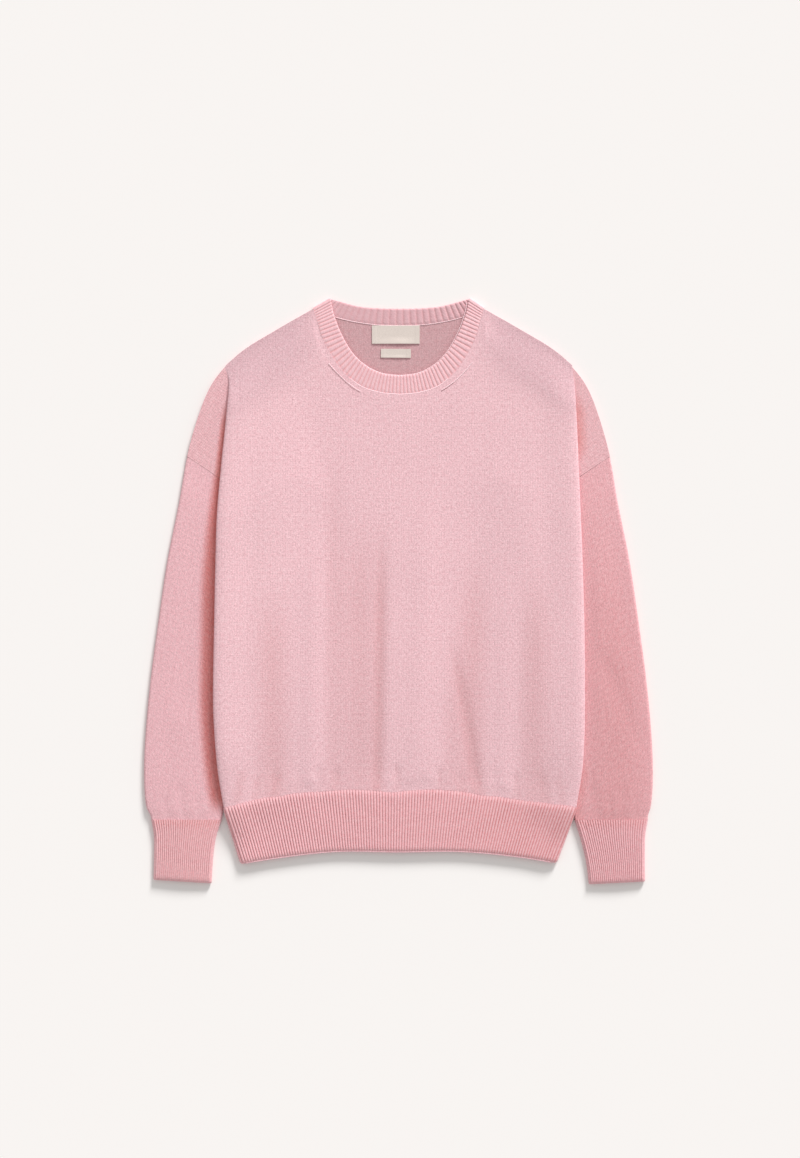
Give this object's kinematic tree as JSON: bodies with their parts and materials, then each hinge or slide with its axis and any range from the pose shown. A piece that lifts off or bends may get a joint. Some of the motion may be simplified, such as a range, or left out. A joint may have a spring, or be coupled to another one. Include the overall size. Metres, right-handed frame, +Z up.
{
  "type": "crewneck sweater laid flat",
  "caption": "Loose crewneck sweater in fine pink knit with dropped shoulders, ribbed neckband, hem and cuffs, laid flat face up with its sleeves folded down beside the body.",
  "frame": {"origin": "on the surface that the garment lies on, under the middle of its box", "axes": "+Z up from the surface, through the back and then the front; +Y from the hem towards the neck; +X to the right as seen from above"},
  "size_m": [0.5876, 0.676, 0.013],
  "materials": {
    "knit": "matte",
    "rib": "matte",
    "band": "matte",
    "label": "matte"
  },
  "bodies": {
    "root": {"front_panel": "knit", "back_panel": "knit", "left_sleeve": "knit", "right_sleeve": "knit", "front_hem_rib": "rib", "back_hem_rib": "rib", "left_cuff": "rib", "right_cuff": "rib", "neckband": "band", "neck_label": "label", "size_label": "label"}
  },
  "joints": []
}
